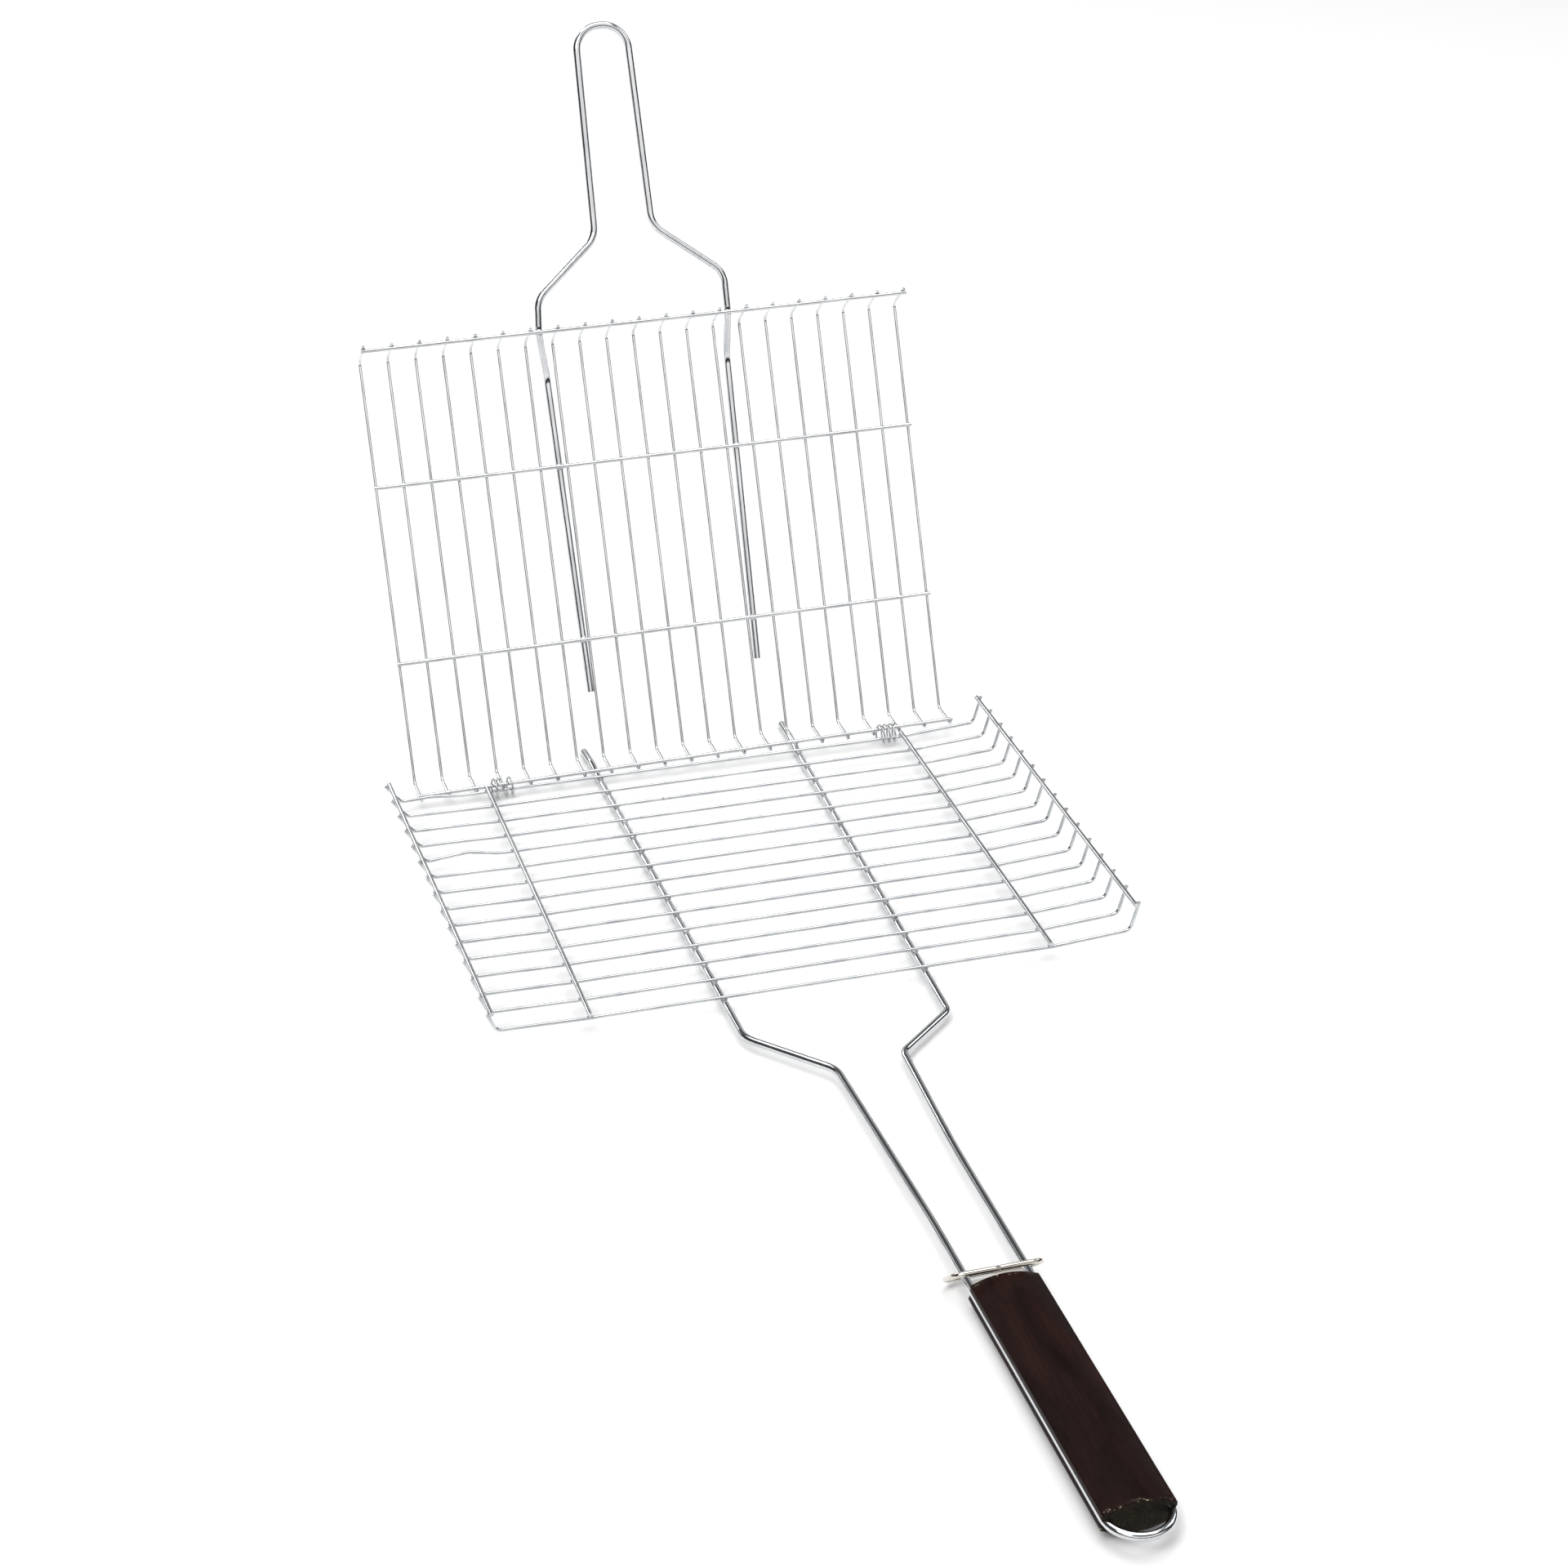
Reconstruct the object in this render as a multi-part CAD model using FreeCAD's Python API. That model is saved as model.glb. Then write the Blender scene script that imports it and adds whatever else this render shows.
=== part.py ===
import FreeCAD, Part
import math
import os

from FreeCAD import Placement, Rotation, Vector

# Hinged wire grilling basket: a shallow tray, a lid that folds back on two loose
# wire coils, a long wire handle under the tray with a wooden grip, a shorter wire
# handle on the lid, and an oval ring that slides along both handles to lock them.
#
# Frame: origin under the middle of the tray, on the plane that the two handle legs
# rest on.  +X to the right, +Y towards the hinge, +Z up.  The lid stands open,
# leaning back on the ends of the handle legs.  Millimetres.

# --- wire radii -------------------------------------------------------------------
GRID_R = 0.9          # long wires of the tray and the lid
TRAY_BAR_R = 1.25     # rims and cross wires of the tray
LID_BAR_R = 1.1       # rims and cross wires of the lid
HANDLE_R = 2.0        # both handle wires
RING_R = 1.3          # lock ring
COIL_R = 0.5          # hinge coils
WELD_SINK = 0.1       # how far two welded wires sink into each other

# --- tray -------------------------------------------------------------------------
TRAY_WIRES = 15
TRAY_PITCH = 17.0
TRAY_HALF_WIDTH = 167.8                  # to the bend at the foot of each side wall
TRAY_REAR_Y = TRAY_PITCH * (TRAY_WIRES - 1) / 2
LEG_Z = HANDLE_R
FLOOR_Z = LEG_Z + HANDLE_R + GRID_R - WELD_SINK
CROSS_Z = FLOOR_Z + GRID_R + TRAY_BAR_R - WELD_SINK
LEFT_CROSS_X = -120.3
RIGHT_CROSS_X = 124.1
# splay: how much further out the rear end of a wall stands than its middle
LEFT_WALL = dict(foot=0.5, rise=1.0, flare=6.6, height=10.8, tail=1.0, toe=0.8, splay=1.6)
RIGHT_WALL = dict(foot=0.0, rise=2.9, flare=4.3, height=16.3, tail=1.4, toe=0.0, splay=0.0)
WALL_BEND_R = 4.0
SWEEP_BEND_R = 60.0                      # gentle bend where the floor starts to rise
BAR_OVERHANG = 1.5
CROSS_OVERHANG = 0.9
DENTS = {                                # wires knocked out of line: x, shift y, lift z
    0: (-153.0, 0.0, 1.8),
    4: (-145.0, 2.9, 1.6),
}
DENT_HALF_LENGTH = 17.0
DENT_BEND_R = 4.0

# --- lid, in its own flat frame: x along the hinge, y away from it, z to the food ---
LID_WIRES = 21
LID_PITCH = 15.64
LID_FIRST_X = -157.3
LID_WALL_BEND_R = 3.5
LID_REAR_BEND = (5.7, -16.7)
LID_FRONT_BEND = (242.4, -16.7)
LID_REAR_END = (-2.5, 1.0)
LID_FRONT_END = (249.3, 3.6)
FRONT_RIM_BACK = 1.8                     # from the wire ends back to the front rim
LID_CROSS_Y = (73.3, 171.9)
LID_BAR_OVERHANG = 1.6

# --- hinge ------------------------------------------------------------------------
HINGE_BEHIND = 4.5                       # hinge line behind the tray's rear wire
HINGE_ABOVE = 2.5
HINGE_YAW = 0.5                          # the loose coils let the lid sit askew
HINGE_ROLL = -0.5
OPEN_ANGLE = 66.3                        # lid plane above the horizontal, leaning back

COIL_MEAN_R = 5.2
COIL_STEP = 20.0
# each coil as (place along the hinge, angle) knots; the left one opens wide where a
# lid wire swings through it
LEFT_COIL = ((-118.2, 150.0), (-112.6, 860.0), (-108.0, 1030.0), (-105.4, 1390.0))
RIGHT_COIL = ((110.9, -60.0), (121.7, 1130.0))

# --- lower handle, as (x, y behind the tray's rear wire) ----------------------------
HANDLE_X = 4.2                           # middle of the loop where its wires run parallel
HANDLE_HALF = 14.5
PARALLEL_Y = -470.0
HANDLE_DRIFT = 0.004                     # the loop runs a little to +X towards its end
LEFT_STUB = dict(x=-55.9, y=36.3, tip=-0.3, hump=0.9)
RIGHT_STUB = dict(x=63.0, y=37.3, tip=0.2, hump=1.2)
STUB_HUMP_Y = 21.0
STUB_FOOT_Y = 3.0
STUB_BEND_R = 25.0
LEFT_NECK = ((-50.5, -272.0), (-15.0, -310.5))
RIGHT_NECK = ((54.4, -276.5), (21.0, -305.0))
LEFT_NECK_R = (15.0, 14.0)
RIGHT_NECK_R = (8.0, 8.0)
LEFT_SETTLE_Y = -440.0                   # where each wire reaches the grip's width
RIGHT_SETTLE_Y = -385.0
SETTLE_BEND_R = 900.0
LOOP_END_Y = -655.5
LOOP_CORNER_R = 14.4

# --- grip -------------------------------------------------------------------------
GRIP_FRONT_Y = -491.3
GRIP_LENGTH = 152.7
GRIP_HALF_WIDTH = 16.2
GRIP_HALF_HEIGHT = 7.9
GRIP_SIDE_TOP = 4.6                      # height of the side faces above the wires
GRIP_SIDE_BOTTOM = -4.0
GRIP_EDGE_R = 1.3
GROOVE_CLEARANCE = 0.03

# --- lid handle, in the lid's flat frame ---------------------------------------------
LID_HANDLE_END_Y = (43.4, 49.3)          # left and right tips of the legs
LID_LEG_X = (-50.5, 49.5)
LID_STEP = ((-53.2, 223.6), (52.6, 223.6))
LID_RIM_X = (-58.3, 51.4)
LID_NECK_OUT = ((-56.8, 265.0), (51.2, 269.5))
LID_NECK_IN = ((-20.6, 295.2), (12.6, 299.0))
LID_LOOP_X = (-17.7, 11.4)
LID_LOOP_END_Y = 410.5
LID_LOOP_ROUND = 0.96                    # bend radius as a share of half the loop's width
LID_OUT_Z = 2.6                          # height of the outer loop, so it lies on the
LID_NECK_Z = 1.0                         # lower handle when the lid is shut

# --- lock ring ----------------------------------------------------------------------
RING_X = 2.4
RING_Y = -481.9
RING_Z = 4.4                             # level with the stack of both handles
RING_HALF_LENGTH = 21.0                  # to the centre line of the ring's wire
RING_HALF_HEIGHT = 10.0
RING_CORNER_R = 5.5
RING_LEAN = 47.0                         # top run leans towards the grip

X_AXIS = Vector(1, 0, 0)
Y_AXIS = Vector(0, 1, 0)
Z_AXIS = Vector(0, 0, 1)


def point(x, y, z):
    """A place given by y behind the tray's rear wire and z above the tray's floor."""
    return Vector(x, TRAY_REAR_Y + y, FLOOR_Z + z)


def corner_arc(before, corner, after, radius):
    """Start, middle and end of the round bend at one corner of a wire's path."""
    into = (corner - before).normalize()
    out = (after - corner).normalize()
    turn = into.getAngle(out)
    reach = radius * math.tan(turn / 2)
    inward = (out - into).normalize()
    middle = corner + inward * (radius / math.cos(turn / 2) - radius)
    return corner - into * reach, middle, corner + out * reach


def bent_wire(points, bend_radii, radius):
    """A round wire along straight runs joined by tangent arcs."""
    edges = []
    here = points[0]
    for number, bend in enumerate(bend_radii, start=1):
        start, middle, end = corner_arc(points[number - 1], points[number], points[number + 1], bend)
        if (start - here).Length > 1e-6:
            edges.append(Part.LineSegment(here, start).toShape())
        edges.append(Part.Arc(start, middle, end).toShape())
        here = end
    if (points[-1] - here).Length > 1e-6:
        edges.append(Part.LineSegment(here, points[-1]).toShape())
    path = Part.Wire(edges)
    section = Part.Wire([Part.makeCircle(radius, points[0], points[1] - points[0])])
    return path.makePipeShell([section], True, False)


def straight_wire(start, end, radius):
    """A straight round wire between two points."""
    return Part.makeCylinder(radius, (end - start).Length, start, end - start)


def save(shape, name):
    """Check one solid and write its STEP file."""
    if not shape.isValid() or len(shape.Solids) != 1:
        raise ValueError("bad solid: " + name)
    shape.Solids[0].exportStep("parts/" + name + ".step")
    print(name, round(shape.Volume, 1))


# --- tray ---------------------------------------------------------------------------
def wall_points(side, wall, index):
    """Foot and top end (x, z above the floor) of one wire's side wall."""
    rearness = 1 - 2 * index / (TRAY_WIRES - 1)
    foot = (side * (TRAY_HALF_WIDTH + wall["foot"] + wall["toe"] * rearness), wall["rise"])
    flare = wall["flare"] + wall["splay"] * rearness
    return foot, (foot[0] + side * flare, foot[1] + wall["height"])


def tray_wire(index):
    """One long wire of the tray: floor, and a short wall at each end."""
    y = -index * TRAY_PITCH
    left_foot, left_top = wall_points(-1, LEFT_WALL, index)
    right_foot, right_top = wall_points(1, RIGHT_WALL, index)
    points = [point(left_top[0], y, left_top[1]), point(left_foot[0], y, left_foot[1])]
    bends = [WALL_BEND_R]
    if index in DENTS:
        x, shift, lift = DENTS[index]
        points.append(point(x, y + shift, lift))
        points.append(point(x + DENT_HALF_LENGTH, y, 0))
        bends += [DENT_BEND_R, 30.0]
    else:
        points.append(point(LEFT_CROSS_X, y, 0))
        bends.append(SWEEP_BEND_R)
    points += [point(RIGHT_CROSS_X, y, 0), point(right_foot[0], y, right_foot[1])]
    bends += [SWEEP_BEND_R, WALL_BEND_R]
    points.append(point(right_top[0], y, right_top[1]))
    return bent_wire(points, bends, GRID_R)


def rim_place(side, wall, index):
    """Where the rim's centre line passes one wire of a side wall."""
    foot, top = wall_points(side, wall, index)
    slope = Vector(top[0] - foot[0], 0, top[1] - foot[1]).normalize()
    inward = Vector(-side * slope.z, 0, side * slope.x)
    offset = GRID_R + TRAY_BAR_R - WELD_SINK
    return point(top[0], -index * TRAY_PITCH, top[1]) - slope * wall["tail"] + inward * offset


def tray_rim(side, wall):
    """The wire along the top of one side wall, welded inside the wall's wires."""
    rear = rim_place(side, wall, 0)
    front = rim_place(side, wall, TRAY_WIRES - 1)
    beyond = (rear - front).normalize() * BAR_OVERHANG
    return straight_wire(rear + beyond, front - beyond, TRAY_BAR_R)


def tray_cross_wire(x):
    """A wire across the long wires, welded on top of them."""
    rear = Vector(x, TRAY_REAR_Y + CROSS_OVERHANG, CROSS_Z)
    front = Vector(x, -TRAY_REAR_Y - CROSS_OVERHANG, CROSS_Z)
    return straight_wire(rear, front, TRAY_BAR_R)


# --- lower handle, grip and ring --------------------------------------------------------
def rounded_tip(wire, tip, radius):
    """Close the end of a handle leg with a half ball."""
    return wire.fuse(Part.makeSphere(radius, tip)).removeSplitter()


def leg_level(x, y, lift=0.0):
    """A point on the handle legs' level, lifted by a little where they bend."""
    return Vector(x, TRAY_REAR_Y + y, LEG_Z + lift)


def stub_points(stub, neck):
    """Points of one leg's rear end, from its tip to just behind the tray."""
    slope = (stub["x"] - neck[0][0]) / (stub["y"] - neck[0][1])
    points = [leg_level(stub["x"], stub["y"], stub["tip"])]
    for y, lift in ((STUB_HUMP_Y, stub["hump"]), (STUB_FOOT_Y, 0.0)):
        points.append(leg_level(stub["x"] + slope * (y - stub["y"]), y, lift))
    return points


def loop_point(side, y):
    """A point on one wire of the loop round the grip."""
    drift = (PARALLEL_Y - y) * HANDLE_DRIFT
    return leg_level(HANDLE_X + side * HANDLE_HALF + drift, y)


def lower_handle(radius):
    """One wire: left leg, neck, long loop round the grip, neck, right leg."""
    left = stub_points(LEFT_STUB, LEFT_NECK) + [leg_level(x, y) for x, y in LEFT_NECK]
    right = stub_points(RIGHT_STUB, RIGHT_NECK) + [leg_level(x, y) for x, y in RIGHT_NECK]
    loop = [loop_point(-1, LEFT_SETTLE_Y), loop_point(-1, LOOP_END_Y),
            loop_point(1, LOOP_END_Y), loop_point(1, RIGHT_SETTLE_Y)]
    points = left + loop + right[::-1]
    bends = [STUB_BEND_R, STUB_BEND_R, LEFT_NECK_R[0], LEFT_NECK_R[1], SETTLE_BEND_R,
             LOOP_CORNER_R, LOOP_CORNER_R, SETTLE_BEND_R,
             RIGHT_NECK_R[1], RIGHT_NECK_R[0], STUB_BEND_R, STUB_BEND_R]
    wire = bent_wire(points, bends, radius)
    return rounded_tip(rounded_tip(wire, points[0], radius), points[-1], radius)


def grip():
    """A wooden bar, domed above and below, with a side groove for each handle wire."""
    front = TRAY_REAR_Y + GRIP_FRONT_Y
    middle_x = HANDLE_X + (PARALLEL_Y - GRIP_FRONT_Y) * HANDLE_DRIFT

    def at(x, z):
        return Vector(middle_x + x, front, LEG_Z + z)

    top_left, top_right = at(-GRIP_HALF_WIDTH, GRIP_SIDE_TOP), at(GRIP_HALF_WIDTH, GRIP_SIDE_TOP)
    low_left, low_right = at(-GRIP_HALF_WIDTH, GRIP_SIDE_BOTTOM), at(GRIP_HALF_WIDTH, GRIP_SIDE_BOTTOM)
    outline = Part.Wire([
        Part.Arc(top_left, at(0, GRIP_HALF_HEIGHT), top_right).toShape(),
        Part.LineSegment(top_right, low_right).toShape(),
        Part.Arc(low_right, at(0, -GRIP_HALF_HEIGHT), low_left).toShape(),
        Part.LineSegment(low_left, top_left).toShape(),
    ])
    bar = Part.Face(outline).extrude(Y_AXIS * -GRIP_LENGTH)
    long_edges = [edge for edge in bar.Edges
                  if abs(edge.Length - GRIP_LENGTH) < 1e-6]
    bar = bar.makeFillet(GRIP_EDGE_R, long_edges)
    bar.rotate(at(0, 0), Z_AXIS, math.degrees(math.atan(HANDLE_DRIFT)))
    return bar.cut(lower_handle(HANDLE_R + GROOVE_CLEARANCE))


def lock_ring():
    """A flattened ring of round wire that stands leaning across the handle."""
    corners = [Vector(side_x * RING_HALF_LENGTH, 0, side_z * RING_HALF_HEIGHT)
               for side_x, side_z in ((1, 1), (1, -1), (-1, -1), (-1, 1))]
    seam = Vector(0, 0, RING_HALF_HEIGHT)
    edges = []
    here = seam
    for number in range(4):
        before = corners[number - 1]
        after = corners[(number + 1) % 4]
        start, middle, end = corner_arc(before, corners[number], after, RING_CORNER_R)
        edges.append(Part.LineSegment(here, start).toShape())
        edges.append(Part.Arc(start, middle, end).toShape())
        here = end
    edges.append(Part.LineSegment(here, seam).toShape())
    section = Part.Wire([Part.makeCircle(RING_R, seam, X_AXIS)])
    ring = Part.Wire(edges).makePipeShell([section], True, False)
    centre = Vector(RING_X, TRAY_REAR_Y + RING_Y, RING_Z)
    ring.Placement = Placement(centre, Rotation(X_AXIS, RING_LEAN))
    return ring


# --- lid --------------------------------------------------------------------------------
def lid_placement(angle=OPEN_ANGLE):
    """Where the lid's flat frame lies when the lid is open by this angle."""
    askew = Rotation(Z_AXIS, HINGE_YAW).multiply(Rotation(Y_AXIS, HINGE_ROLL))
    return Placement(point(0, HINGE_BEHIND, HINGE_ABOVE), askew.multiply(Rotation(X_AXIS, angle)))


def lid_wire(index):
    """One long wire of the lid: plane, and a short wall at the rear and the front."""
    x = LID_FIRST_X + index * LID_PITCH
    outline = (LID_REAR_END, LID_REAR_BEND, LID_FRONT_BEND, LID_FRONT_END)
    return bent_wire([Vector(x, y, z) for y, z in outline], [LID_WALL_BEND_R] * 2, GRID_R)


def lid_bar(y, z):
    """A wire across the lid's long wires."""
    left = Vector(LID_FIRST_X - LID_BAR_OVERHANG, y, z)
    length = (LID_WIRES - 1) * LID_PITCH + 2 * LID_BAR_OVERHANG
    return straight_wire(left, left + X_AXIS * length, LID_BAR_R)


def front_rim_centre():
    """The front rim's place: inside the front wall's wires, near their ends."""
    slope = Vector(0, LID_FRONT_END[0] - LID_FRONT_BEND[0], LID_FRONT_END[1] - LID_FRONT_BEND[1])
    slope.normalize()
    inward = Vector(0, -slope.z, slope.y)
    end = Vector(0, LID_FRONT_END[0], LID_FRONT_END[1])
    return end - slope * FRONT_RIM_BACK + inward * (GRID_R + LID_BAR_R - WELD_SINK)


def lid_handle():
    """One wire: leg, step to the rim's level, neck, long loop, and back."""
    cross_z = LID_REAR_BEND[1] + GRID_R + LID_BAR_R - WELD_SINK
    leg_z = cross_z - LID_BAR_R - HANDLE_R + WELD_SINK
    rim = front_rim_centre()
    rim_z = rim.z - LID_BAR_R - HANDLE_R + WELD_SINK
    sides = []
    for side in (0, 1):
        sides.append([
            Vector(LID_LEG_X[side], LID_HANDLE_END_Y[side], leg_z),
            Vector(LID_STEP[side][0], LID_STEP[side][1], leg_z),
            Vector(LID_RIM_X[side], rim.y, rim_z),
            Vector(*LID_NECK_OUT[side], LID_NECK_Z),
            Vector(*LID_NECK_IN[side], LID_OUT_Z),
            Vector(LID_LOOP_X[side], LID_LOOP_END_Y, LID_OUT_Z),
        ])
    bends = [14.0, 10.0, 14.0, 14.0]
    loop_r = LID_LOOP_ROUND * (LID_LOOP_X[1] - LID_LOOP_X[0]) / 2
    return bent_wire(sides[0] + sides[1][::-1], bends + [loop_r, loop_r] + bends[::-1], HANDLE_R)


def coil_path(knots, centre):
    """Points along a coil, COIL_STEP degrees apart, between its knots."""
    points = []
    for (x0, angle0), (x1, angle1) in zip(knots, knots[1:]):
        steps = round((angle1 - angle0) / COIL_STEP)
        for step in range(0 if not points else 1, steps + 1):
            share = step / steps
            angle = math.radians(angle0 + (angle1 - angle0) * share)
            across = Vector(0, COIL_MEAN_R * math.cos(angle), COIL_MEAN_R * math.sin(angle))
            points.append(centre + across + X_AXIS * (x0 + (x1 - x0) * share))
    return points


def hinge_coil(knots):
    """An open coil of thin wire round the tray's rear wire and the lid's rear rim."""
    middle = (knots[0][0] + knots[-1][0]) / 2
    rim = lid_placement().multVec(Vector(middle, 0, 0))
    centre = (rim + Vector(middle, TRAY_REAR_Y, FLOOR_Z)) * 0.5
    points = coil_path(knots, Vector(0, centre.y, centre.z))
    curve = Part.BSplineCurve()
    curve.interpolate(points)
    section = Part.Wire([Part.makeCircle(COIL_R, points[0], curve.tangent(0)[0])])
    return Part.Wire([curve.toShape()]).makePipeShell([section], True, False)


def lid_piece(shape):
    """Move a piece from the lid's flat frame to the open lid."""
    shape.Placement = lid_placement().multiply(shape.Placement)
    return shape


def main():
    os.makedirs("parts", exist_ok=True)
    for index in range(TRAY_WIRES):
        save(tray_wire(index), "tray_wire_%02d" % (index + 1))
    save(tray_rim(-1, LEFT_WALL), "tray_rim_left")
    save(tray_rim(1, RIGHT_WALL), "tray_rim_right")
    save(tray_cross_wire(LEFT_CROSS_X), "tray_cross_wire_left")
    save(tray_cross_wire(RIGHT_CROSS_X), "tray_cross_wire_right")
    save(lower_handle(HANDLE_R), "tray_handle_wire")
    save(grip(), "grip")
    save(lock_ring(), "lock_ring")
    save(hinge_coil(LEFT_COIL), "hinge_coil_left")
    save(hinge_coil(RIGHT_COIL), "hinge_coil_right")

    for index in range(LID_WIRES):
        save(lid_piece(lid_wire(index)), "lid_wire_%02d" % (index + 1))
    rim = front_rim_centre()
    cross_z = LID_REAR_BEND[1] + GRID_R + LID_BAR_R - WELD_SINK
    save(lid_piece(lid_bar(0, 0)), "lid_rear_rim")
    save(lid_piece(lid_bar(rim.y, rim.z)), "lid_front_rim")
    for name, y in zip(("rear", "front"), LID_CROSS_Y):
        save(lid_piece(lid_bar(y, cross_z)), "lid_cross_wire_" + name)
    save(lid_piece(lid_handle()), "lid_handle_wire")


main()
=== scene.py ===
"""Looks of the hinged wire grilling basket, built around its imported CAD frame.

Lengths in the dataclass fields are metres, in the CAD's own frame: origin under the
middle of the tray, +X right, +Y towards the hinge, +Z up.
"""

import logging
import math
import random
from dataclasses import dataclass, field
from enum import Enum

import bmesh
import bpy
from mathutils import Euler, Matrix, Vector


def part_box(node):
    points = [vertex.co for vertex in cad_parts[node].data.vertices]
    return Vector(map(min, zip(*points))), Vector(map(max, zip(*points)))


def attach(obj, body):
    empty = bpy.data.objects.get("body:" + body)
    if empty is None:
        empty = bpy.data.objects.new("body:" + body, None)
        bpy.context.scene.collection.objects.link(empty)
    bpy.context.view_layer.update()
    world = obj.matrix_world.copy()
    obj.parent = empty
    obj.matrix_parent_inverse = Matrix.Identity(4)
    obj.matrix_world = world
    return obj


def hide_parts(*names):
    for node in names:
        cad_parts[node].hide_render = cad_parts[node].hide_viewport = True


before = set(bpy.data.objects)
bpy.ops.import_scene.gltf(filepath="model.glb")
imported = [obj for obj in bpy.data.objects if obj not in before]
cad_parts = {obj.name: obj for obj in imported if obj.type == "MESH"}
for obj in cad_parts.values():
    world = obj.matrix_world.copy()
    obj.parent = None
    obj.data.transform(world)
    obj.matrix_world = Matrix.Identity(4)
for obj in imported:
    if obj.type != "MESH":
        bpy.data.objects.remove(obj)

LOG = logging.getLogger("grill_basket")
MM = 0.001
HINGE_WIRE_Y = 119.0  # millimetres, where the tray's rearmost wire lies
LID_LEAN = math.radians(66.3)
LID_YAW = math.radians(0.5)
LID_ROLL = math.radians(-0.5)
Colour = tuple[float, float, float, float]
Pair = tuple[float, float]
Size = tuple[float, float, float]
BRIGHT: Colour = (0.75, 0.76, 0.775, 1.0)
BRIGHT_DULL: Colour = (0.46, 0.475, 0.49, 1.0)


class Run(Enum):
    """Which way a wire was drawn, as a turn of the pattern's long direction."""

    ACROSS = (0.0, 0.0, 0.0)
    LID = (-LID_LEAN, 0.0, 0.0)
    LID_ACROSS = (0.0, 0.0, LID_YAW)


class Stretch(Enum):
    """How the draw marks are stretched: long in one direction, fine in the others."""

    FIRST_AXIS = (28.0, 1900.0, 1900.0)
    SECOND_AXIS = (1900.0, 28.0, 1900.0)


# ---------------------------------------------------------------- node helpers
def set_span(node: bpy.types.Node, span: Pair, onto: Pair) -> None:
    """Set the two spans of a Map Range node.

    Args:
        node: The node.
        span: The span of its input.
        onto: The span of its result.
    """
    for name, number in zip(("From Min", "From Max", "To Min", "To Max"), (*span, *onto)):
        node.inputs[name].default_value = number


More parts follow.
